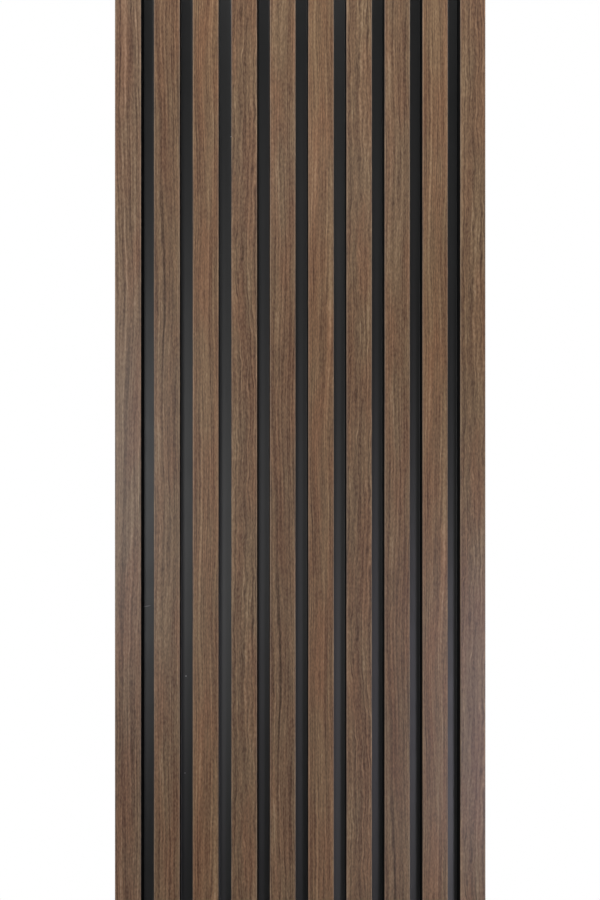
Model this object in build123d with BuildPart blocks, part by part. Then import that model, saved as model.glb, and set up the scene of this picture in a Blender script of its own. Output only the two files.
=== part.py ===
"""Slat wall panel: three interlocking three-slat boards, closed at the left by a one-slat end trim.

Every board is one long extrusion. Its section is a row of slats that stand on a thin floor. The floor starts
with a tongue at its left edge, and the right wall of its last slat has the slot for the next board's tongue.
The end trim is a single slat with the same slot, so that it takes the first board's tongue.

Frame: millimetres, +Z up along the slats, X across them, the back on Y = 0 and the fronts towards -Y.
The origin is the middle of the panel's back.
"""

import os

from build123d import *

# Panel
length = 2650.0
board_count = 3
slats_per_board = 3
cover_width = 122.0
pitch = cover_width / slats_per_board

# Section of a slat and of the floor that carries it
slat_width = 27.2
thickness = 21.0
floor_thickness = 5.0
arris_radius = 0.6
root_radius = 0.8

# Tongue and slot between neighbours
lip_thickness = 1.6
tongue_thickness = 1.7
tongue_reach = 6.0
tongue_chamfer = 0.5
tongue_play = 0.15
slot_end_room = 0.8
seam_gap = 0.3
seam_radius = 1.5

# Adhesive keys in the back of every slat
key_mouth = 3.2
key_floor = 2.0
key_depth = 0.9
key_spacing = 9.0

slat_total = 1 + board_count * slats_per_board
seam_round = min(seam_radius, 0.9 * (floor_thickness - lip_thickness - tongue_thickness))


def slat_middle(number):
    """X of the middle of a slat, counted from 0 at the end trim."""
    return (number - (slat_total - 1) / 2) * pitch


def wall_right_of(number):
    """X of the right wall of a slat."""
    return slat_middle(number) + slat_width / 2


def draw_slats(first, count):
    """Adds a run of slats to the open sketch, each from the back to the front face."""
    with Locations(*[(slat_middle(first + step), 0) for step in range(count)]):
        Rectangle(slat_width, thickness, align=(Align.CENTER, Align.MAX))


def draw_floor(first, count):
    """Adds the floor, from the seam beside the slat before this run to the last slat of the run."""
    left = wall_right_of(first - 1) + seam_gap
    right = slat_middle(first + count - 1)
    with Locations((left, 0)):
        Rectangle(right - left, floor_thickness, align=(Align.MIN, Align.MAX))


def draw_tongue(first):
    """Adds the tongue that enters the wall of the slat before this run, with its tip chamfered."""
    wall = wall_right_of(first - 1)
    tip = wall - tongue_reach
    rear = -lip_thickness
    front = rear - tongue_thickness
    with BuildLine() as outline:
        Polyline(
            (wall + seam_gap, rear),
            (tip + tongue_chamfer, rear),
            (tip, rear - tongue_chamfer),
            (tip, front + tongue_chamfer),
            (tip + tongue_chamfer, front),
            (wall + seam_gap, front),
            close=True,
        )
    make_face(outline.edges())


def cut_slot(number):
    """Cuts the slot for the next tongue into the right wall of a slat."""
    wall = wall_right_of(number)
    with Locations((wall, tongue_play - lip_thickness)):
        Rectangle(
            tongue_reach + slot_end_room,
            tongue_thickness + 2 * tongue_play,
            align=(Align.MAX, Align.MAX),
            mode=Mode.SUBTRACT,
        )


def cut_adhesive_keys(first, count):
    """Cuts two shallow keys with sloping sides into the back of each slat of a run."""
    middles = [slat_middle(first + step) + side * key_spacing / 2 for step in range(count) for side in (-1, 1)]
    with Locations(*[(middle, 0) for middle in middles]):
        Polygon(
            (-key_mouth / 2, 0),
            (-key_floor / 2, -key_depth),
            (key_floor / 2, -key_depth),
            (key_mouth / 2, 0),
            align=None,
            mode=Mode.SUBTRACT,
        )


def soften_fronts(section):
    """Rounds the front arrises of the slats in a section."""
    fillet(section.vertices().group_by(Axis.Y)[0], arris_radius)


def soften_floor(section):
    """Rounds the floor's seam edge, and the corners where the floor meets the walls of its slats."""
    at_floor = section.vertices().filter_by(lambda corner: abs(corner.Y + floor_thickness) < 0.001)
    seam_edge, *roots = at_floor.sort_by(Axis.X)
    fillet(roots, root_radius)
    fillet(section.vertices().sort_by_distance((seam_edge.X, seam_edge.Y))[0], seam_round)


bottom = Plane.XY.offset(-length / 2)
os.makedirs("parts", exist_ok=True)

# End trim: the panel's first slat, closed on its left side
with BuildPart() as end_trim:
    with BuildSketch(bottom) as trim_section:
        draw_slats(0, 1)
        soften_fronts(trim_section)
        cut_slot(0)
        cut_adhesive_keys(0, 1)
    extrude(amount=length)
end_trim.part.label = "end_trim"
export_step(end_trim.part, "parts/end_trim.step")

# Slat boards: identical extrusions, each hooked into the one before it
for board_number in range(board_count):
    first_slat = 1 + board_number * slats_per_board
    last_slat = first_slat + slats_per_board - 1
    with BuildPart() as slat_board:
        with BuildSketch(bottom) as board_section:
            draw_slats(first_slat, slats_per_board)
            draw_floor(first_slat, slats_per_board)
            soften_fronts(board_section)
            soften_floor(board_section)
            draw_tongue(first_slat)
            cut_slot(last_slat)
            cut_adhesive_keys(first_slat, slats_per_board)
        extrude(amount=length)
    slat_board.part.label = f"slat_board_{board_number + 1}"
    export_step(slat_board.part, f"parts/{slat_board.part.label}.step")
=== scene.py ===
"""Slat wall panel: walnut-print film on the slats' fronts, black film in the grooves, a dark foamed core.

Each board is swept from its section by Geometry Nodes: the slats of a board are one outline, repeated, and a
closing outline adds the tongue, the slotted slat and the back. Metres, in the frame of the CAD model: +Z up
along the slats, the fronts towards -Y, the origin in the middle of the back.
"""

import math

import bpy
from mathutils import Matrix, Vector


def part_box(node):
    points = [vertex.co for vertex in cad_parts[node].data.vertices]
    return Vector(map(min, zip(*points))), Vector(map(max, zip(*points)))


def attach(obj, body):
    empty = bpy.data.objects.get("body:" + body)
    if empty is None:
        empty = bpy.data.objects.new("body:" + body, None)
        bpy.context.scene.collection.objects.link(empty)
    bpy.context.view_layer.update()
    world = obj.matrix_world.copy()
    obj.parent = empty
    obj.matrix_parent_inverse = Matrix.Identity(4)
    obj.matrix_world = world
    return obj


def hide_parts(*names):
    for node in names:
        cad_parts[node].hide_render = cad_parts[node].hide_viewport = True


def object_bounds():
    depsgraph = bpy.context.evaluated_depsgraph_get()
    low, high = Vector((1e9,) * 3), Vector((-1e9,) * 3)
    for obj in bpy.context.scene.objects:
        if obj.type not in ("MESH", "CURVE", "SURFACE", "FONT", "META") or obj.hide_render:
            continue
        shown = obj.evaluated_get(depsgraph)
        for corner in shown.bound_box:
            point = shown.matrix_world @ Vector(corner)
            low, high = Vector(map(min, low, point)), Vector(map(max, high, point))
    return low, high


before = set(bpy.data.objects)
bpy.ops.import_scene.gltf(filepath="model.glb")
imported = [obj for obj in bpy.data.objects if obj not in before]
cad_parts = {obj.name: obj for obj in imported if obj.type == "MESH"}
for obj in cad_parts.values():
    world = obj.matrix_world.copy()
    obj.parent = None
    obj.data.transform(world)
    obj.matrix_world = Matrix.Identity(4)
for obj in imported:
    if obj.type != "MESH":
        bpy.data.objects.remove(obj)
cad_low, cad_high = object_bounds()

MM = 0.001

# Sizes read from the frame
trim_low, trim_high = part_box("end_trim")
board_low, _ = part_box("slat_board_1")
next_board_low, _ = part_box("slat_board_2")
LENGTH = trim_high.z - trim_low.z
BOTTOM = trim_low.z
THICKNESS = trim_high.y - trim_low.y
SLAT_WIDTH = trim_high.x - trim_low.x
COVER_WIDTH = next_board_low.x - board_low.x
SLATS_PER_BOARD = 3
BOARD_COUNT = 3
PITCH = COVER_WIDTH / SLATS_PER_BOARD
FIRST_WALL = trim_high.x

# Section sizes, as in the CAD model
FLOOR_THICKNESS = 5.0 * MM
ARRIS_RADIUS = 0.6 * MM
ROOT_RADIUS = 0.8 * MM
LIP_THICKNESS = 1.6 * MM
TONGUE_THICKNESS = 1.7 * MM
TONGUE_REACH = 6.0 * MM
TONGUE_CHAMFER = 0.5 * MM
TONGUE_PLAY = 0.15 * MM
SLOT_END_ROOM = 0.8 * MM
SEAM_GAP = 0.3 * MM
SEAM_RADIUS = 1.5 * MM
KEY_MOUTH = 3.2 * MM
KEY_FLOOR = 2.0 * MM
KEY_DEPTH = 0.9 * MM
KEY_SPACING = 9.0 * MM

# How the outlines are drawn, and the mesh that is swept from them
ARC_STEPS = 8
HOLD = 0.15 * MM  # a point this far past each arc keeps the flat beside it flat when it is shaded smooth
WELD = 0.001 * MM
CREASE_ANGLE = math.radians(25)
LEFT, RIGHT, FRONT, BACK = (-1, 0), (1, 0), (0, -1), (0, 1)

# Where the walnut film ends: just past the arrises, and on the trim's outer side only at the back
FILM_EDGE = ARRIS_RADIUS + 0.05 * MM
TRIM_OUTER_SIDE = trim_low.x + ARRIS_RADIUS * 0.05
NO_OUTER_SIDE = trim_low.x - 1.0

# The film is printed by a cylinder, so the grain comes back after each turn of it. Each board starts at its
# own place in the turn, and the end trim shows another stretch across the print.
PRINT_TURN = 1029 * MM
PRINT_STARTS = [0.0, 0.0, 403 * MM, 641 * MM]
TRIM_PRINT_OFFSET = 8 * PITCH - SLAT_WIDTH

# Sockets of a Mix node: its factor, its two values and its two colours
FACTOR, VALUE_A, VALUE_B, COLOUR_A, COLOUR_B = 0, 2, 3, 6, 7


def linear(code):
    """Linear RGBA from an sRGB hex code."""
    values = [int(code[place:place + 2], 16) / 255 for place in (1, 3, 5)]
    return (*[v / 12.92 if v <= 0.04045 else ((v + 0.055) / 1.055) ** 2.4 for v in values], 1.0)


def add(tree, kind, inputs=(), **settings):
    """Adds a node with its settings and links. Inputs are listed in the order of the sockets, or given by
    their names or numbers, and a node among them stands for its first output in use."""
    node = tree.nodes.new(kind)
    for name, value in settings.items():
        setattr(node, name, value)
    named = inputs if isinstance(inputs, dict) else dict(enumerate(inputs))
    for socket, value in named.items():
        if isinstance(value, bpy.types.Node):
            value = next(output for output in value.outputs if output.enabled)
        if isinstance(value, bpy.types.NodeSocket):
            tree.links.new(value, node.inputs[socket])
        else:
            node.inputs[socket].default_value = value
    return node


# Outlines of the sections


def arc(corner, before, after, radius):
    """Points that round a square corner between two unit directions: back along the edge before it, and on
    after it. Each end has one more point a little further out on its edge."""
    cx, cy = (corner[k] + radius * (before[k] + after[k]) for k in (0, 1))
    points = [tuple(corner[k] + (radius + HOLD) * before[k] for k in (0, 1))]
    for step in range(ARC_STEPS + 1):
        turn = math.pi / 2 * step / ARC_STEPS
        points.append((
            cx - radius * (after[0] * math.cos(turn) + before[0] * math.sin(turn)),
            cy - radius * (after[1] * math.cos(turn) + before[1] * math.sin(turn)),
        ))
    points.append(tuple(corner[k] + (radius + HOLD) * after[k] for k in (0, 1)))
    return points


def slat_front(middle):
    """Front of a slat: its face between the two rounded arrises."""
    left, right = middle - SLAT_WIDTH / 2, middle + SLAT_WIDTH / 2
    return (
        arc((left, -THICKNESS), BACK, RIGHT, ARRIS_RADIUS)
        + arc((right, -THICKNESS), LEFT, BACK, ARRIS_RADIUS)
    )


def slat_on_floor(middle):
    """Outline of a slat, from the middle of the groove at its left to the middle of the one at its right."""
    left, right = middle - SLAT_WIDTH / 2, middle + SLAT_WIDTH / 2
    return (
        [(middle - PITCH / 2, -FLOOR_THICKNESS)]
        + arc((left, -FLOOR_THICKNESS), LEFT, FRONT, ROOT_RADIUS)
        + slat_front(middle)
        + arc((right, -FLOOR_THICKNESS), FRONT, RIGHT, ROOT_RADIUS)
        + [(middle + PITCH / 2, -FLOOR_THICKNESS)]
    )


def slotted_wall(wall):
    """Right wall of a joint slat, from the slot for the next tongue to the back."""
    mouth_front = -(LIP_THICKNESS + TONGUE_THICKNESS + TONGUE_PLAY)
    mouth_back = -(LIP_THICKNESS - TONGUE_PLAY)
    end = wall - TONGUE_REACH - SLOT_END_ROOM
    return [(wall, mouth_front), (end, mouth_front), (end, mouth_back), (wall, mouth_back), (wall, 0.0)]


def keyed_back(middles):
    """Back of the slats from right to left, with two adhesive keys in each."""
    points = []
    for middle in reversed(middles):
        for side in (1, -1):
            key = middle + side * KEY_SPACING / 2
            points += [
                (key + KEY_MOUTH / 2, 0.0),
                (key + KEY_FLOOR / 2, -KEY_DEPTH),
                (key - KEY_FLOOR / 2, -KEY_DEPTH),
                (key - KEY_MOUTH / 2, 0.0),
            ]
    return points


def tongued_edge(wall):
    """Left edge of a board's floor, from the back round the tongue to the seam's rounded front edge."""
    edge = wall + SEAM_GAP
    tip = wall - TONGUE_REACH
    rear, front = -LIP_THICKNESS, -(LIP_THICKNESS + TONGUE_THICKNESS)
    return [
        (edge, 0.0),
        (edge, rear),
        (tip + TONGUE_CHAMFER, rear),
        (tip, rear - TONGUE_CHAMFER),
        (tip, front + TONGUE_CHAMFER),
        (tip + TONGUE_CHAMFER, front),
        (edge, front),
    ] + arc((edge, -FLOOR_THICKNESS), BACK, RIGHT, SEAM_RADIUS)


def outline_object(name, points, closed=False):
    """An object whose mesh is a chain of edges in the plane z = 0."""
    mesh = bpy.data.meshes.new(name)
    edges = [(k, k + 1) for k in range(len(points) - 1)]
    if closed:
        edges.append((len(points) - 1, 0))
    mesh.from_pydata([(x, y, 0.0) for x, y in points], edges, [])
    made = bpy.data.objects.new(name, mesh)
    bpy.context.scene.collection.objects.link(made)
    return made


def trim_outlines():
    """The end trim's closed outline, and one in the place of a repeated slat, which the trim doesn't have."""
    middle = FIRST_WALL - SLAT_WIDTH / 2
    outline = slat_front(middle) + slotted_wall(FIRST_WALL) + keyed_back([middle])
    outline.append((FIRST_WALL - SLAT_WIDTH, 0.0))
    closing = outline_object("trim_outline", outline, closed=True)
    return closing, outline_object("no_slat", [(0.0, 0.0), (PITCH, 0.0)])


def board_outlines(number, wall):
    """A board's closing outline, and the outline of its first slat, which is repeated."""
    middles = [wall + PITCH * (step + 1) - SLAT_WIDTH / 2 for step in range(SLATS_PER_BOARD)]
    joint_slat = middles[-1]
    closing = outline_object(f"closing_outline_{number}", (
        [(joint_slat - PITCH / 2, -FLOOR_THICKNESS)]
        + arc((joint_slat - SLAT_WIDTH / 2, -FLOOR_THICKNESS), LEFT, FRONT, ROOT_RADIUS)
        + slat_front(joint_slat)
        + slotted_wall(joint_slat + SLAT_WIDTH / 2)
        + keyed_back(middles)
        + tongued_edge(wall)
        + [(middles[0] - PITCH / 2, -FLOOR_THICKNESS)]
    ))
    return closing, outline_object(f"slat_outline_{number}", slat_on_floor(middles[0]))


# Boards


def board_tree():
    """Geometry Nodes that repeat a board's slats, close its section, sweep it and lay the films on it."""
    tree = bpy.data.node_groups.new("Slatted board", "GeometryNodeTree")
    sockets = [
        ("Slat Outline", "NodeSocketGeometry"),
        ("Closing Outline", "NodeSocketObject"),
        ("Repeated Slats", "NodeSocketInt"),
        ("Pitch", "NodeSocketFloat"),
        ("Length", "NodeSocketFloat"),
        ("Bottom", "NodeSocketFloat"),
        ("Thickness", "NodeSocketFloat"),
        ("Film Edge", "NodeSocketFloat"),
        ("Outer Side", "NodeSocketFloat"),
        ("Print Left", "NodeSocketFloat"),
        ("Print Start", "NodeSocketFloat"),
        ("Walnut Film", "NodeSocketMaterial"),
        ("Black Film", "NodeSocketMaterial"),
        ("Core", "NodeSocketMaterial"),
    ]
    for name, kind in sockets:
        tree.interface.new_socket(name, in_out="INPUT", socket_type=kind)
    tree.interface.new_socket("Board", in_out="OUTPUT", socket_type="NodeSocketGeometry")
    given = add(tree, "NodeGroupInput").outputs

    # The section: the repeated slats and the closing outline are welded into a ring, which is filled
    step = add(tree, "ShaderNodeCombineXYZ", {"X": given["Pitch"]})
    places = add(tree, "GeometryNodeMeshLine", {"Count": given["Repeated Slats"], "Offset": step})
    slats = add(tree, "GeometryNodeInstanceOnPoints", {"Points": places, "Instance": given["Slat Outline"]})
    repeated = add(tree, "GeometryNodeRealizeInstances", [slats])
    closing = add(tree, "GeometryNodeObjectInfo", {"Object": given["Closing Outline"]})
    joined = add(tree, "GeometryNodeJoinGeometry", [closing.outputs["Geometry"]])
    tree.links.new(repeated.outputs[0], joined.inputs[0])
    welded = add(tree, "GeometryNodeMergeByDistance", {"Geometry": joined, "Distance": WELD})
    ring = add(tree, "GeometryNodeMeshToCurve", {"Mesh": welded})
    section = add(tree, "GeometryNodeFillCurve", {"Curve": ring})

    # The board: the section is swept from its bottom end to its top end
    down = add(tree, "ShaderNodeCombineXYZ", {"Z": given["Bottom"]})
    lowered = add(tree, "GeometryNodeTransform", {"Geometry": section, "Translation": down})
    upward = add(tree, "ShaderNodeCombineXYZ", {"Z": given["Length"]})
    swept = add(tree, "GeometryNodeExtrudeMesh", {
        "Mesh": lowered, "Offset": upward, "Offset Scale": 1.0, "Individual": False,
    }, mode="FACES")
    bottom_end = add(tree, "GeometryNodeFlipFaces", {"Mesh": lowered})
    ends = add(tree, "GeometryNodeJoinGeometry", [swept])
    tree.links.new(bottom_end.outputs[0], ends.inputs[0])
    solid = add(tree, "GeometryNodeMergeByDistance", {"Geometry": ends, "Distance": WELD})

    # Each point keeps its place on the print: across it, along it, and how far behind the fronts
    place = add(tree, "ShaderNodeSeparateXYZ", [add(tree, "GeometryNodeInputPosition")]).outputs
    depth = add(tree, "ShaderNodeMath", [place["Y"], given["Thickness"]], operation="ADD")
    unrolled = add(tree, "ShaderNodeMath", [place["X"], depth], operation="SUBTRACT")
    across = add(tree, "ShaderNodeMath", [unrolled, given["Print Left"]], operation="SUBTRACT")
    along = add(tree, "ShaderNodeMath", [place["Z"], given["Print Start"]], operation="ADD")
    print_place = add(tree, "ShaderNodeCombineXYZ", [across, along, depth])
    printed = add(tree, "GeometryNodeStoreNamedAttribute", {
        "Geometry": solid, "Name": "print_place", "Value": print_place,
    }, data_type="FLOAT_VECTOR", domain="POINT")

    # Round stretches are shaded smooth, and the corners stay crisp
    rounded = add(tree, "GeometryNodeSetShadeSmooth", {"Geometry": printed, "Shade Smooth": True})
    bend = add(tree, "GeometryNodeInputMeshEdgeAngle").outputs["Unsigned Angle"]
    sharp = add(tree, "ShaderNodeMath", [bend, CREASE_ANGLE], operation="GREATER_THAN")
    crisp = add(tree, "GeometryNodeSetShadeSmooth", {
        "Geometry": rounded, "Selection": sharp, "Shade Smooth": False,
    }, domain="EDGE")

    # The films leave the ends bare. Walnut covers the fronts and the trim's outer side, but not its back.
    facing = add(tree, "ShaderNodeSeparateXYZ", [add(tree, "GeometryNodeInputNormal")]).outputs
    endward = add(tree, "ShaderNodeMath", [facing["Z"]], operation="ABSOLUTE")
    upright = add(tree, "ShaderNodeMath", [endward, 0.5], operation="LESS_THAN")
    front_part = add(tree, "ShaderNodeMath", [depth, given["Film Edge"]], operation="LESS_THAN")
    outer_wall = add(tree, "ShaderNodeMath", [place["X"], given["Outer Side"]], operation="LESS_THAN")
    off_back = add(tree, "ShaderNodeMath", [facing["Y"], 0.5], operation="LESS_THAN")
    outer_part = add(tree, "ShaderNodeMath", [outer_wall, off_back], operation="MULTIPLY")
    either_part = add(tree, "ShaderNodeMath", [front_part, outer_part], operation="MAXIMUM")
    walnut = add(tree, "ShaderNodeMath", [upright, either_part], operation="MULTIPLY")

    # Black covers what else lies in front of the tongues
    tongue_front = -(LIP_THICKNESS + TONGUE_THICKNESS)
    in_front = add(tree, "ShaderNodeMath", [place["Y"], tongue_front], operation="LESS_THAN")
    black = add(tree, "ShaderNodeMath", [upright, in_front], operation="MULTIPLY")

    cored = add(tree, "GeometryNodeSetMaterial", {"Geometry": crisp, "Material": given["Core"]})
    lined = add(tree, "GeometryNodeSetMaterial", {
        "Geometry": cored, "Selection": black, "Material": given["Black Film"],
    })
    faced = add(tree, "GeometryNodeSetMaterial", {
        "Geometry": lined, "Selection": walnut, "Material": given["Walnut Film"],
    })
    add(tree, "NodeGroupOutput", [add(tree, "GeometryNodeRealizeInstances", [faced])])
    return tree


def made_board(name, tree, slat_outline, values):
    """A plain mesh object from the board tree, whose other inputs are given by their names."""
    maker = bpy.data.objects.new(name + "_maker", slat_outline.data)
    bpy.context.scene.collection.objects.link(maker)
    modifier = maker.modifiers.new("board", "NODES")
    modifier.node_group = tree
    for item in tree.interface.items_tree:
        if item.in_out == "INPUT" and item.name in values:
            modifier[item.identifier] = values[item.name]
    evaluated = maker.evaluated_get(bpy.context.evaluated_depsgraph_get())
    mesh = bpy.data.meshes.new_from_object(evaluated)
    mesh.name = name
    maker.modifiers.remove(modifier)
    bpy.data.objects.remove(maker)
    board = bpy.data.objects.new(name, mesh)
    bpy.context.scene.collection.objects.link(board)
    return board


def build_panel():
    """The end trim and the three slat boards, each in place of its CAD node."""
    tree = board_tree()
    shared = {
        "Pitch": PITCH,
        "Length": LENGTH,
        "Bottom": BOTTOM,
        "Thickness": THICKNESS,
        "Film Edge": FILM_EDGE,
        "Walnut Film": walnut_film(),
        "Black Film": black_film(),
        "Core": foamed_core(),
    }
    for number in range(BOARD_COUNT + 1):
        if number == 0:
            name = "end_trim"
            closing, slat = trim_outlines()
            own = {
                "Repeated Slats": 0,
                "Outer Side": TRIM_OUTER_SIDE,
                "Print Left": FIRST_WALL - SLAT_WIDTH - TRIM_PRINT_OFFSET,
            }
        else:
            name = f"slat_board_{number}"
            wall = FIRST_WALL + (number - 1) * COVER_WIDTH
            closing, slat = board_outlines(number, wall)
            own = {
                "Repeated Slats": SLATS_PER_BOARD - 1,
                "Outer Side": NO_OUTER_SIDE,
                "Print Left": wall,
            }
        own["Print Start"] = PRINT_STARTS[number]
        own["Closing Outline"] = closing
        board = made_board("wrapped_" + name, tree, slat, shared | own)
        bpy.data.objects.remove(closing)
        bpy.data.objects.remove(slat)
        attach(board, "root")
        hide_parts(name)


# Materials


def new_material(name):
    """A material and its empty tree."""
    material = bpy.data.materials.new(name)
    material.use_nodes = True
    material.node_tree.nodes.clear()
    return material, material.node_tree


def spread(ramp, codes, spaces):
    """Lays colours evenly on a ramp, which has this many spaces."""
    while len(ramp.elements) < len(codes):
        ramp.elements.new(1.0)
    for number, (stop, code) in enumerate(zip(ramp.elements, codes)):
        stop.position = number / spaces
        stop.color = linear(code)


def pitch_number(tree, across):
    """Number of the pitch that a place across the print lies in: a slat, with the groove at its left."""
    pitches = add(tree, "ShaderNodeMath", [across, PITCH], operation="DIVIDE")
    return add(tree, "ShaderNodeMath", [pitches], operation="FLOOR")


def grain(tree, around, across, size, detail):
    """Noise drawn out along the slats: size is the real width and length of one mark.
    The print cylinder's round section makes it come back after a turn."""
    width, length = size
    radius = PRINT_TURN / (2 * math.pi)
    cosine = add(tree, "ShaderNodeMath", [around], operation="COSINE")
    sine = add(tree, "ShaderNodeMath", [around], operation="SINE")
    place = add(tree, "ShaderNodeCombineXYZ", [
        add(tree, "ShaderNodeMath", [across, 1 / width], operation="MULTIPLY"),
        add(tree, "ShaderNodeMath", [cosine, radius / length], operation="MULTIPLY"),
        add(tree, "ShaderNodeMath", [sine, radius / length], operation="MULTIPLY"),
    ])
    return add(tree, "ShaderNodeTexNoise", {
        "Vector": place, "Scale": 1.0, "Detail": detail, "Roughness": 0.5,
    })


# Browns of the print from its darkest vessel to its palest fibre, and the tone of each lane: a board's three
# slats, and the end trim, whose tone is partly its own and partly a painted cool sheen, paler and bluer
WALNUT_BROWNS = ["#47372a", "#685340", "#856e54", "#a28a6d"]
LANE_TONES = ["#e2dee0", "#efe8e5", "#e8e5e7", "#eceaf3"]

# Layers of the grain, from the broad bands and the long streaks to the short vessels: width and length of one
# mark, how much the layer weighs, and the detail of its noise. In the warmer lane the bands weigh more, and
# the other layers less.
GRAIN_LAYERS = [
    {"size": (3.8 * MM, 320 * MM), "weight": 0.46, "detail": 2.0},
    {"size": (2.1 * MM, 1100 * MM), "weight": 1.15, "detail": 2.0},
    {"size": (1.8 * MM, 110 * MM), "weight": 0.88, "detail": 2.0},
    {"size": (1.5 * MM, 18 * MM), "weight": 0.55, "detail": 2.0},
    {"size": (1.1 * MM, 3.5 * MM), "weight": 0.5, "detail": 0.0},
]
STRONGER_BANDS = 0.6
FAINTER_STREAKS = 0.12

# The streaks wind: they sway slowly to either side, and curl closely, more widely in the curly lane
SWAY_SIZE = (50 * MM, 330 * MM)
SWAY_REACH = 10 * MM
CURL_SIZE = (7 * MM, 26 * MM)
CURL_REACH = 2 * MM
WIDER_CURL = 3.5 * MM

# Patches of a redder brown, the painted highlight along the arrises, and the depth of the embossing
PATCH_SIZE = (14 * MM, 90 * MM)
HIGHLIGHT_EDGE = 1.5 * MM
HIGHLIGHT_SHARE = 0.1
EMBOSSING = 0.1 * MM


def walnut_film():
    """Walnut-print PVC film, embossed and matt lacquered: a grey brown with fine dark streaks that wind a
    little as they run, short dark vessels, and a soft cool sheen where a lamp is mirrored."""
    material, tree = new_material("walnut_film")
    print_place = add(tree, "ShaderNodeAttribute", attribute_name="print_place").outputs["Vector"]
    split = add(tree, "ShaderNodeSeparateXYZ", [print_place]).outputs
    across, depth = split["X"], split["Z"]
    around = add(tree, "ShaderNodeMath", [split["Y"], 2 * math.pi / PRINT_TURN], operation="MULTIPLY")

    # The three slats of a board show three lanes of the print: straight grain, warmer grain and curly grain
    lane = pitch_number(tree, across)
    warm_lane = add(tree, "ShaderNodeMath", [lane, 1.0], operation="COMPARE")
    curly_lane = add(tree, "ShaderNodeMath", [lane, 2.0], operation="COMPARE")

    sway = grain(tree, around, across, SWAY_SIZE, detail=1.0)
    curl = grain(tree, around, across, CURL_SIZE, detail=1.0)
    swayed = add(tree, "ShaderNodeMapRange", [sway, 0.0, 1.0, -SWAY_REACH, SWAY_REACH])
    bent = add(tree, "ShaderNodeMath", [across, swayed], operation="ADD")
    wider = add(tree, "ShaderNodeMath", [curly_lane, WIDER_CURL], operation="MULTIPLY")
    curl_reach = add(tree, "ShaderNodeMath", [wider, CURL_REACH], operation="ADD")
    curl_side = add(tree, "ShaderNodeMath", [curl, 0.5], operation="SUBTRACT")
    curl_shift = add(tree, "ShaderNodeMath", [curl_side, curl_reach], operation="MULTIPLY")
    curled = add(tree, "ShaderNodeMath", [bent, curl_shift], operation="ADD")

    # The warmer lane has stronger bands and fainter streaks
    fainter = add(tree, "ShaderNodeMath", [warm_lane, FAINTER_STREAKS], operation="MULTIPLY")
    streaks = add(tree, "ShaderNodeMath", [1.0, fainter], operation="SUBTRACT")
    stronger = add(tree, "ShaderNodeMath", [warm_lane, STRONGER_BANDS], operation="MULTIPLY")
    bands = add(tree, "ShaderNodeMath", [1.0, stronger], operation="ADD")
    value = 0.5
    shares = [bands] + [streaks] * (len(GRAIN_LAYERS) - 1)
    for layer, share in zip(GRAIN_LAYERS, shares):
        noise = grain(tree, around, curled, layer["size"], layer["detail"])
        most = layer["weight"] / 2
        swing = add(tree, "ShaderNodeMapRange", [noise, 0.0, 1.0, -most, most])
        weighed = add(tree, "ShaderNodeMath", [swing, share], operation="MULTIPLY")
        value = add(tree, "ShaderNodeMath", [value, weighed], operation="ADD")

    browns = add(tree, "ShaderNodeValToRGB", [value])
    spread(browns.color_ramp, WALNUT_BROWNS, len(WALNUT_BROWNS) - 1)
    lane_middle = add(tree, "ShaderNodeMath", [lane, 0.5], operation="ADD")
    lane_step = add(tree, "ShaderNodeMath", [lane_middle, len(LANE_TONES)], operation="DIVIDE")
    tones = add(tree, "ShaderNodeValToRGB", [lane_step])
    tones.color_ramp.interpolation = "CONSTANT"
    spread(tones.color_ramp, LANE_TONES, len(LANE_TONES))
    toned = add(tree, "ShaderNodeMix", {
        FACTOR: 1.0, COLOUR_A: browns, COLOUR_B: tones,
    }, data_type="RGBA", blend_type="MULTIPLY")
    redder = add(tree, "ShaderNodeMix", {
        FACTOR: 1.0, COLOUR_A: toned, COLOUR_B: linear("#fff0ee"),
    }, data_type="RGBA", blend_type="MULTIPLY")
    patches = grain(tree, around, bent, PATCH_SIZE, detail=1.0)
    in_patch = add(tree, "ShaderNodeMapRange", [patches, 0.35, 0.65])
    coloured = add(tree, "ShaderNodeMix", {
        FACTOR: in_patch, COLOUR_A: toned, COLOUR_B: redder,
    }, data_type="RGBA")

    # Painted highlight: along the arrises the film is mixed a little paler, where they would catch the lamps
    in_pitch = add(tree, "ShaderNodeMath", [across, PITCH], operation="FLOORED_MODULO")
    off_middle = add(tree, "ShaderNodeMath", [in_pitch, PITCH - SLAT_WIDTH / 2], operation="SUBTRACT")
    from_middle = add(tree, "ShaderNodeMath", [off_middle], operation="ABSOLUTE")
    near_arris = add(tree, "ShaderNodeMapRange", [
        from_middle, SLAT_WIDTH / 2 - HIGHLIGHT_EDGE, SLAT_WIDTH / 2 - ARRIS_RADIUS,
    ])
    near_front = add(tree, "ShaderNodeMapRange", [depth, HIGHLIGHT_EDGE, ARRIS_RADIUS])
    arris_highlight = add(tree, "ShaderNodeMath", [near_arris, near_front], operation="MULTIPLY")
    paler = add(tree, "ShaderNodeMix", {
        FACTOR: HIGHLIGHT_SHARE, COLOUR_A: coloured, COLOUR_B: linear("#d9c7b2"),
    }, data_type="RGBA")
    highlighted = add(tree, "ShaderNodeMix", {
        FACTOR: arris_highlight, COLOUR_A: coloured, COLOUR_B: paler,
    }, data_type="RGBA")

    # The dark streaks lie deeper in the lacquer, and are a little rougher
    rough = add(tree, "ShaderNodeMapRange", [value, 0.0, 1.0, 0.27, 0.24])
    embossed = add(tree, "ShaderNodeBump", {"Strength": 0.2, "Distance": EMBOSSING, "Height": value})
    surface = add(tree, "ShaderNodeBsdfPrincipled", {
        "Base Color": highlighted, "Roughness": rough, "IOR": 1.48, "Normal": embossed,
    })
    add(tree, "ShaderNodeOutputMaterial", {"Surface": surface})
    return material


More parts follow.
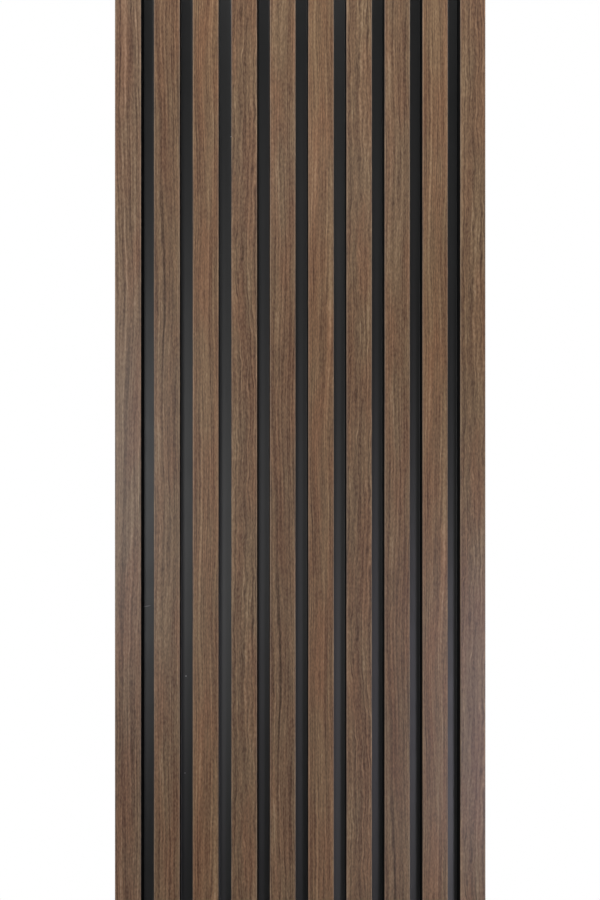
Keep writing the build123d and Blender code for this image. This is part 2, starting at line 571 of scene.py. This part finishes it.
# Marks that the photo shows on the grooves' floors, in millimetres and degrees: a crease across the first
# floor, two specks of dust on the second and one on the third. Each fades out between its core and its edge.
MARKS = [
    {"middle": (-164.6, -166.6), "half_size": (4.8, 0.7), "turn": 10, "share": 0.4},
    {"middle": (-123.2, -241.6), "half_size": (1.0, 1.1), "turn": 0, "share": 0.8},
    {"middle": (-124.3, -345.2), "half_size": (0.9, 1.0), "turn": 0, "share": 0.5},
    {"middle": (-75.3, 335.7), "half_size": (0.9, 0.7), "turn": 0, "share": 1.0},
]
MARK_CORE = 0.4

# The black film: how far a face turns to the side to count as a wall, the roughness and gloss on the grooves'
# floors and walls, and the lean of the last floor's shading
WALL_STARTS, WALL_ENDS = 0.3, 0.9
FLOOR_ROUGHNESS = (0.34, 0.38)
ROUGHER_WALL = 0.4
FLOOR_GLOSS = 0.53
LAST_FLOOR_GLOSS = 0.63
WALL_GLOSS = 0.05
LAST_FLOOR_LEAN = 0.035


def marked(tree, place):
    """How much of a mark lies at a place: its share in its core, and 0 past its edge."""
    most = 0.0
    for mark in MARKS:
        x, z = mark["middle"]
        half_width, half_height = mark["half_size"]
        own_place = add(tree, "ShaderNodeMapping", {
            "Vector": place,
            "Location": (x * MM, -FLOOR_THICKNESS, z * MM),
            "Rotation": (0.0, -math.radians(mark["turn"]), 0.0),
            "Scale": (half_width * MM, 1.0 * MM, half_height * MM),
        }, vector_type="TEXTURE")
        away = add(tree, "ShaderNodeVectorMath", [own_place], operation="LENGTH")
        share = add(tree, "ShaderNodeMapRange", [away, 1.0, MARK_CORE, 0.0, mark["share"]])
        most = add(tree, "ShaderNodeMath", [most, share], operation="MAXIMUM")
    return most


def black_film():
    """Black PVC film, satin: near black, with a broad soft mirror of the lamps, and a few pale marks."""
    material, tree = new_material("black_film")
    place = add(tree, "ShaderNodeTexCoord").outputs["Object"]
    dusty = add(tree, "ShaderNodeMix", {
        FACTOR: marked(tree, place), COLOUR_A: linear("#131314"), COLOUR_B: linear("#a8a8aa"),
    }, data_type="RGBA")

    # It is pressed tight on the grooves' floors, and stretched dull over their walls
    geometry = add(tree, "ShaderNodeNewGeometry").outputs
    facing = add(tree, "ShaderNodeSeparateXYZ", [geometry["True Normal"]]).outputs
    sideways = add(tree, "ShaderNodeMath", [facing["X"]], operation="ABSOLUTE")
    on_wall = add(tree, "ShaderNodeMapRange", [sideways, WALL_STARTS, WALL_ENDS])
    mottle = add(tree, "ShaderNodeTexNoise", {"Vector": place, "Scale": 40.0, "Detail": 2.0})
    floor_rough = add(tree, "ShaderNodeMapRange", [mottle, 0.3, 0.7, *FLOOR_ROUGHNESS])
    wall_rough = add(tree, "ShaderNodeMath", [on_wall, ROUGHER_WALL], operation="MULTIPLY")
    rough = add(tree, "ShaderNodeMath", [floor_rough, wall_rough], operation="ADD")

    # On the floor of a board's last groove it is a little glossier, and leans up. Down there the film's place
    # on the print lies a groove's depth to the left, and so in the pitch before.
    print_place = add(tree, "ShaderNodeAttribute", attribute_name="print_place").outputs["Vector"]
    across = add(tree, "ShaderNodeSeparateXYZ", [print_place]).outputs["X"]
    last_groove = add(tree, "ShaderNodeMath", [pitch_number(tree, across), 1.0], operation="COMPARE")
    on_floor = add(tree, "ShaderNodeMapRange", [last_groove, 0.0, 1.0, FLOOR_GLOSS, LAST_FLOOR_GLOSS])
    gloss = add(tree, "ShaderNodeMix", {
        FACTOR: on_wall, VALUE_A: on_floor, VALUE_B: WALL_GLOSS,
    }, data_type="FLOAT")
    lean = add(tree, "ShaderNodeMath", [last_groove, LAST_FLOOR_LEAN], operation="MULTIPLY")
    up = add(tree, "ShaderNodeCombineXYZ", {"Z": lean})
    leaning = add(tree, "ShaderNodeVectorMath", [geometry["Normal"], up], operation="ADD")
    turned = add(tree, "ShaderNodeVectorMath", [leaning], operation="NORMALIZE")

    surface = add(tree, "ShaderNodeBsdfPrincipled", {
        "Base Color": dusty, "Roughness": rough, "Specular IOR Level": gloss, "IOR": 1.75, "Normal": turned,
    })
    add(tree, "ShaderNodeOutputMaterial", {"Surface": surface})
    return material


# Closed cells of the foam, where it is sawn
CELL_SIZE = 0.6 * MM
CELL_DEPTH = 0.15 * MM


def foamed_core():
    """Foamed polystyrene, dyed dark grey and sawn: dull, with fine closed cells."""
    material, tree = new_material("foamed_core")
    place = add(tree, "ShaderNodeTexCoord").outputs["Object"]
    cells = add(tree, "ShaderNodeTexVoronoi", {"Vector": place, "Scale": 1 / CELL_SIZE})
    paler = add(tree, "ShaderNodeMapRange", [cells, 0.0, 0.8])
    colour = add(tree, "ShaderNodeMix", {
        FACTOR: paler, COLOUR_A: linear("#232325"), COLOUR_B: linear("#3a3a3c"),
    }, data_type="RGBA")
    pitted = add(tree, "ShaderNodeBump", {"Strength": 0.5, "Distance": CELL_DEPTH, "Height": cells})
    surface = add(tree, "ShaderNodeBsdfPrincipled", {
        "Base Color": colour, "Roughness": 0.85, "Normal": pitted,
    })
    add(tree, "ShaderNodeOutputMaterial", {"Surface": surface})
    return material


# Camera, level and a little to the left of the panel's middle, turned to face it. The scale is the photo's at
# the slats' fronts, its fall in each metre to the right gives the turn, and the panel's middle lies a few
# pixels right of the picture's.
PICTURE_HEIGHT = 900
SENSOR = 36.0
VIEW_DISTANCE = 1.10
PIXELS_PER_METRE = 943.8
SCALE_FALL = 0.0467
PIXELS_RIGHT = 1.9
VIEW_TURN = math.asin(SCALE_FALL * VIEW_DISTANCE)
FOCAL_PIXELS = PIXELS_PER_METRE * VIEW_DISTANCE


def add_camera():
    """The camera at the photograph's place."""
    data = bpy.data.cameras.new("camera")
    data.sensor_width = SENSOR
    data.lens = SENSOR * FOCAL_PIXELS / PICTURE_HEIGHT
    data.shift_x = -PIXELS_RIGHT / PICTURE_HEIGHT
    camera = bpy.data.objects.new("camera", data)
    bpy.context.scene.collection.objects.link(camera)
    camera.location = (
        -VIEW_DISTANCE * math.sin(VIEW_TURN),
        -THICKNESS - VIEW_DISTANCE * math.cos(VIEW_TURN),
        0.0,
    )
    camera.rotation_euler = (math.pi / 2, 0.0, -VIEW_TURN)
    bpy.context.scene.camera = camera


# Lamps, all turned to the panel's middle: name, place, width and height, power in watts, colour
LAMPS = [
    ("high_left", (-1.0, -1.1, 1.8), (0.4, 0.4), 37.5, "#ffffff"),
    ("high_right", (1.0, -1.1, 1.8), (0.4, 0.4), 30, "#ffffff"),
    ("high_middle", (0.0, -1.1, 1.8), (0.4, 0.4), 4, "#ffffff"),
    ("low_left", (-0.6, -0.7, -1.35), (0.4, 0.4), 3.2, "#ffffff"),
    ("low_right", (0.6, -0.7, -1.35), (0.4, 0.4), 7, "#ffffff"),
    ("front_left", (-0.6, -2.0, -0.12), (0.3, 0.95), 2.7, "#ffffff"),
    ("front_left_tall", (-0.36, -2.0, -0.15), (0.3, 1.4), 1.15, "#ffffff"),
    ("front_middle", (0.1, -2.0, -0.2), (0.4, 0.8), 0.2, "#ffffff"),
    ("front_right", (0.76, -2.0, -0.75), (0.3, 0.85), 3.6, "#f4ecff"),
    ("front_right_tall", (0.55, -2.0, -0.25), (0.3, 0.8), 0.5, "#ffffff"),
    ("front_right_low", (0.6, -2.0, -1.2), (0.6, 0.4), 0.7, "#ffffff"),
    ("front_high", (0.1, -2.0, 0.8), (0.8, 0.3), 0.5, "#ffffff"),
    ("behind", (0.0, 3.0, 2.0), (1.5, 1.5), 60, "#ffffff"),
]
PANEL_MIDDLE = Vector((0.0, 0.0, 0.0))


def add_lamps():
    """Rectangular soft lamps: the high ones at both sides give most of the light, the low ones fill the foot,
    the ones in front are mirrored in the films, and the one behind lights the back."""
    for name, place, size, power, colour in LAMPS:
        data = bpy.data.lights.new(name, "AREA")
        data.shape = "RECTANGLE"
        data.size, data.size_y = size
        data.energy = power
        data.color = linear(colour)[:3]
        lamp = bpy.data.objects.new(name, data)
        bpy.context.scene.collection.objects.link(lamp)
        lamp.location = place
        lamp.rotation_euler = (PANEL_MIDDLE - Vector(place)).to_track_quat("-Z", "Y").to_euler()


def background_share(tree, backward):
    """Share of a white background: all for the camera, and for mirrored rays what lies behind the panel."""
    path = add(tree, "ShaderNodeLightPath").outputs
    bounced = add(tree, "ShaderNodeMath", [
        path["Is Glossy Ray"], path["Is Transmission Ray"],
    ], operation="MAXIMUM")
    bounced_back = add(tree, "ShaderNodeMath", [bounced, backward], operation="MULTIPLY")
    return add(tree, "ShaderNodeMath", [path["Is Camera Ray"], bounced_back], operation="MAXIMUM")


# Strength of the surround that the panel sees
SURROUND_LIGHT = 0.05


def add_surround():
    """A dim even surround that the camera sees as white."""
    world = bpy.data.worlds.new("surround")
    bpy.context.scene.world = world
    world.use_nodes = True
    tree = world.node_tree
    tree.nodes.clear()
    direction = add(tree, "ShaderNodeTexCoord").outputs["Generated"]
    towards = add(tree, "ShaderNodeSeparateXYZ", [direction]).outputs["Y"]
    share = background_share(tree, add(tree, "ShaderNodeMapRange", [towards, 0.0, 0.5]))
    dim = add(tree, "ShaderNodeBackground", {"Color": linear("#ffffff"), "Strength": SURROUND_LIGHT})
    white = add(tree, "ShaderNodeBackground", {"Color": linear("#ffffff"), "Strength": 1.0})
    both = add(tree, "ShaderNodeMixShader", [share, dim, white])
    add(tree, "ShaderNodeOutputWorld", {"Surface": both})


# Floor: how far it reaches, how far it lies under the panel, and its glow, which rises between two distances
# from the panel's middle
FLOOR_REACH, FLOOR_REACH_BACK = 2.8, 1.7
FLOOR_DROP = 2 * MM
GLOW_STARTS, GLOW_ENDS = 1.5, 2.6
NEAR_GLOW, FAR_GLOW = 0.75, 1.0


def pale_floor():
    """Matt pale floor. The camera sees it with a glow that turns it white away from the panel and keeps the
    shadow. Rays that are mirrored forwards see it dull, and other light bounces off it without the glow."""
    material, tree = new_material("pale_floor")
    place = add(tree, "ShaderNodeTexCoord").outputs["Object"]
    backward = add(tree, "ShaderNodeSeparateXYZ", [place]).outputs["Y"]
    behind = add(tree, "ShaderNodeMath", [backward, 0.0], operation="GREATER_THAN")
    share = background_share(tree, behind)
    matt = add(tree, "ShaderNodeBsdfDiffuse", {"Color": linear("#bdbdbd")})
    away = add(tree, "ShaderNodeVectorMath", [place], operation="LENGTH")
    strength = add(tree, "ShaderNodeMapRange", [away, GLOW_STARTS, GLOW_ENDS, NEAR_GLOW, FAR_GLOW])
    glow = add(tree, "ShaderNodeEmission", {"Color": linear("#ffffff"), "Strength": strength})
    lit = add(tree, "ShaderNodeAddShader", [matt, glow])
    dull = add(tree, "ShaderNodeBsdfDiffuse", {"Color": linear("#606060")})
    mirrored = add(tree, "ShaderNodeLightPath").outputs["Is Glossy Ray"]
    unlit = add(tree, "ShaderNodeMixShader", [mirrored, matt, dull])
    both = add(tree, "ShaderNodeMixShader", [share, unlit, lit])
    add(tree, "ShaderNodeOutputMaterial", {"Surface": both})
    return material


def add_floor():
    """A floor just under the panel."""
    level = cad_low.z - FLOOR_DROP
    corners = [
        (-FLOOR_REACH, -FLOOR_REACH, level),
        (FLOOR_REACH, -FLOOR_REACH, level),
        (FLOOR_REACH, FLOOR_REACH_BACK, level),
        (-FLOOR_REACH, FLOOR_REACH_BACK, level),
    ]
    mesh = bpy.data.meshes.new("floor")
    mesh.from_pydata(corners, [], [(0, 1, 2, 3)])
    mesh.materials.append(pale_floor())
    floor = bpy.data.objects.new("floor", mesh)
    bpy.context.scene.collection.objects.link(floor)


build_panel()
add_camera()
add_lamps()
add_surround()
add_floor()

bpy.context.scene.view_settings.view_transform = "Standard"
